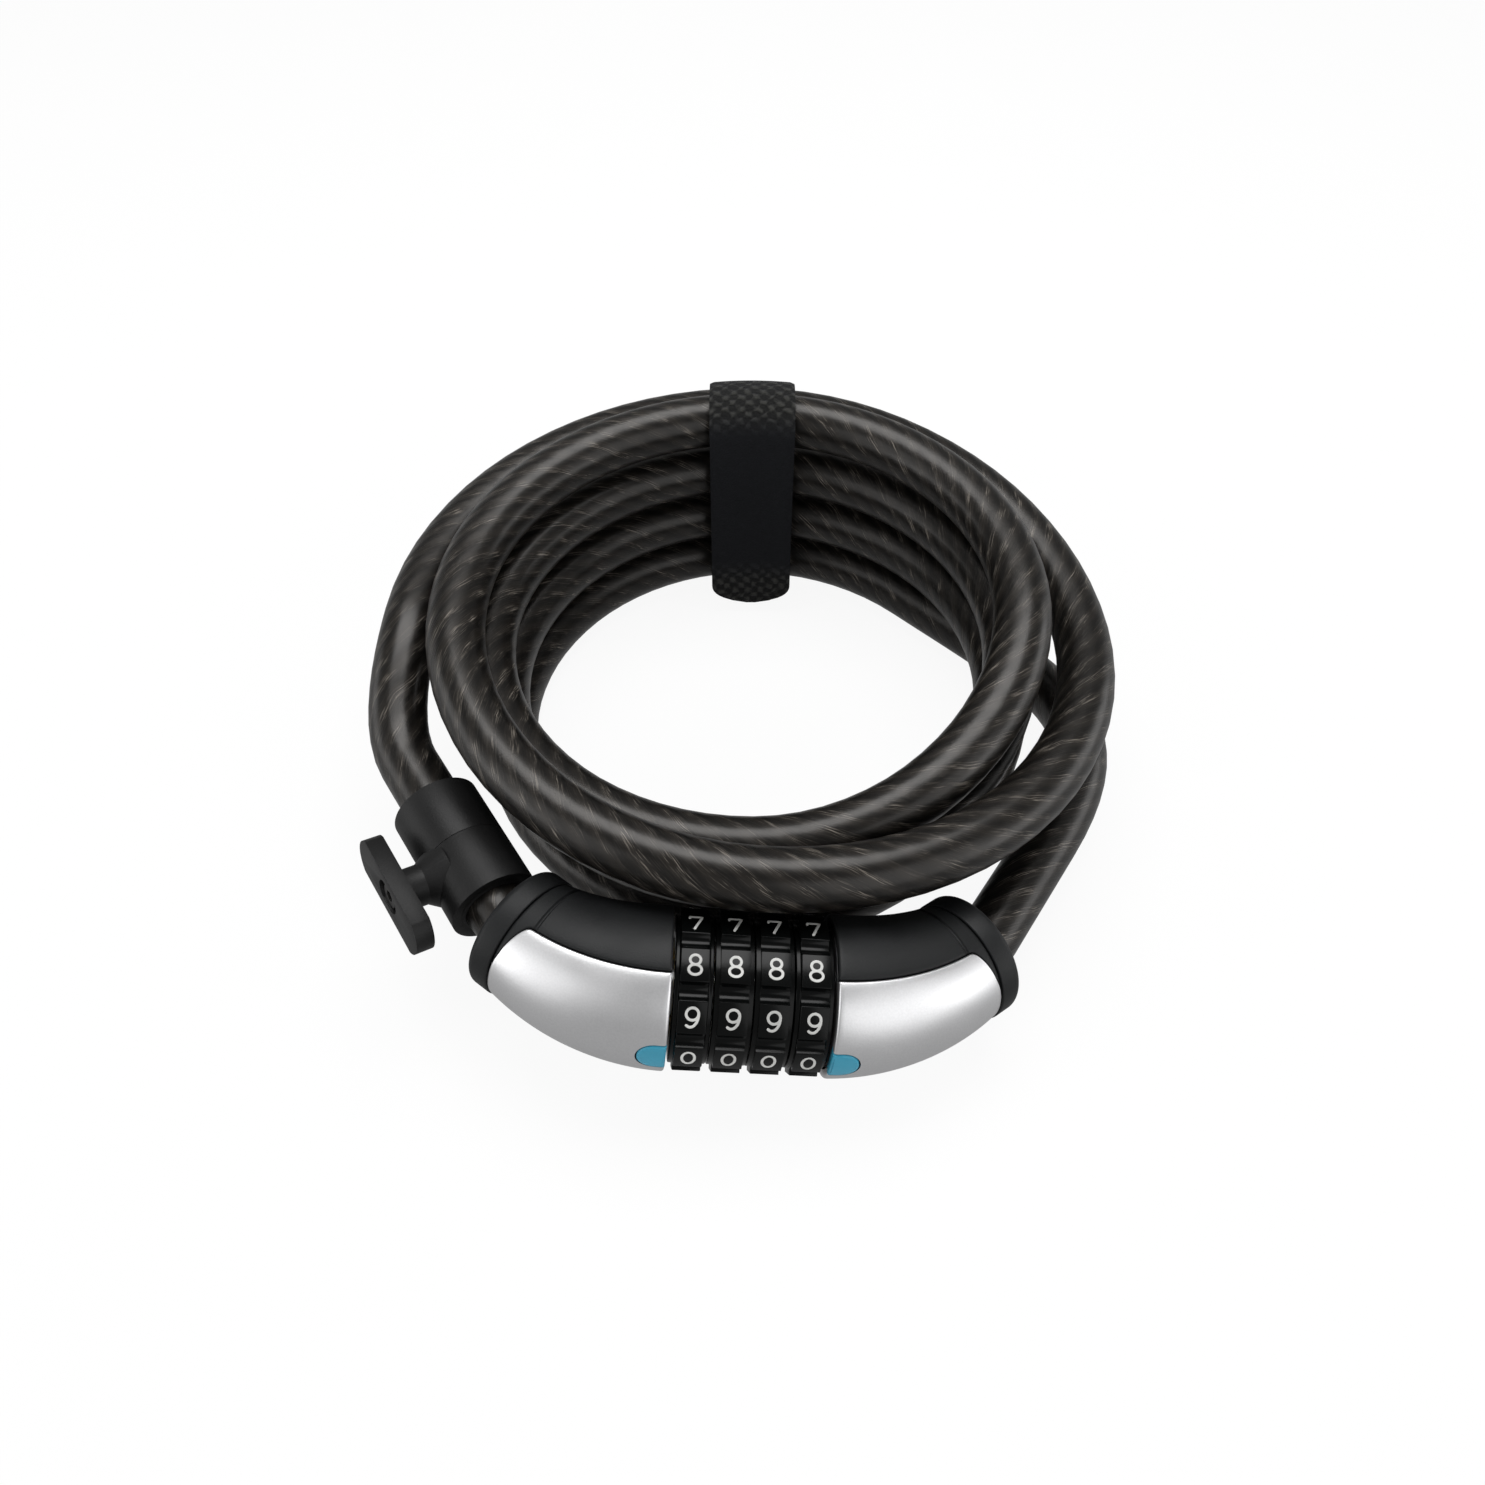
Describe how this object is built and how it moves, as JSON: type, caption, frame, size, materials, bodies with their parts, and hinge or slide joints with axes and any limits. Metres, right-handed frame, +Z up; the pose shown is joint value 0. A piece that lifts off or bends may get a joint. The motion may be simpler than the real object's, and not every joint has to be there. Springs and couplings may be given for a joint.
{
  "type": "coiled cable lock",
  "caption": "Coiled jacketed steel cable lock with a curved combination head, rotating number dials, a slide-out plug, a hook-and-loop strap and a swivelling T-stud carrier bracket.",
  "frame": {"origin": "on the floor, centred between the front of the lock head and the back of the strap", "axes": "+X to the right along the head with the dials facing the viewer, +Y from the head back across the coil to the strap, +Z up out of the floor"},
  "size_m": [0.1606, 0.1766, 0.0564],
  "materials": {
    "jacket": "smoky translucent vinyl over steel rope, soft gloss",
    "satin_shell": "satin chrome plating",
    "soft_black": "fine-grained soft-touch black",
    "dial_black": "glossy black with pale engraved numbers",
    "index_blue": "light blue, semi-matt",
    "zinc": "die-cast zinc, dull",
    "steel": "zinc-plated steel",
    "brass": "turned brass",
    "bracket_black": "moulded black nylon",
    "liner": "black rubber",
    "strap": "black hook-and-loop tape, woven back"
  },
  "bodies": {
    "lock_body": {"left_core": "zinc", "left_shell": "satin_shell", "left_cover": "soft_black", "left_collar": "soft_black", "left_index_mark": "index_blue", "spindle_sleeve": "steel", "sleeve_cross_pin": "steel", "end_plate": "steel", "detent_leaf": "steel", "fixed_ferrule": "steel", "cable_lead_left": "jacket", "cable_coil": "jacket", "cable_lead_right": "jacket", "strap": "strap"},
    "dial_1_body": {"dial_1": "dial_black", "code_ring_1": "brass"},
    "dial_2_body": {"dial_2": "dial_black", "code_ring_2": "brass"},
    "dial_3_body": {"dial_3": "dial_black", "code_ring_3": "brass"},
    "dial_4_body": {"dial_4": "dial_black", "code_ring_4": "brass"},
    "plug": {"plug_core": "zinc", "plug_shell": "satin_shell", "plug_cover": "soft_black", "plug_collar": "soft_black", "plug_index_mark": "index_blue", "locking_pin": "steel", "plug_cross_pin": "steel", "plug_ferrule": "steel"},
    "bracket": {"bracket_far_ring": "bracket_black", "bracket_near_ring": "bracket_black", "bracket_liner": "liner", "bracket_tee": "bracket_black", "bracket_screw": "steel"}
  },
  "joints": [
    {"name": "dial_1_turn", "type": "hinge", "parent": "lock_body", "child": "dial_1_body", "pos_m": [-0.01059, -0.07315, 0.02161], "axis": [0.9945, 0, -0.1045], "continuous": true},
    {"name": "dial_2_turn", "type": "hinge", "parent": "lock_body", "child": "dial_2_body", "pos_m": [-0.00353, -0.07315, 0.02087], "axis": [0.9945, 0, -0.1045], "continuous": true},
    {"name": "dial_3_turn", "type": "hinge", "parent": "lock_body", "child": "dial_3_body", "pos_m": [0.00353, -0.07315, 0.02013], "axis": [0.9945, 0, -0.1045], "continuous": true},
    {"name": "dial_4_turn", "type": "hinge", "parent": "lock_body", "child": "dial_4_body", "pos_m": [0.01059, -0.07315, 0.01939], "axis": [0.9945, 0, -0.1045], "continuous": true},
    {"name": "plug_slide", "type": "slide", "parent": "lock_body", "child": "plug", "axis": [0.9945, 0, -0.1045], "range_m": [0, 0.03], "deforming": ["cable_lead_right"]},
    {"name": "bracket_swivel", "type": "hinge", "parent": "lock_body", "child": "bracket", "pos_m": [-0.05507, -0.0472, 0.02629], "axis": [-0.5561, 0.829, 0.0585], "range_deg": [-120, 75]}
  ]
}
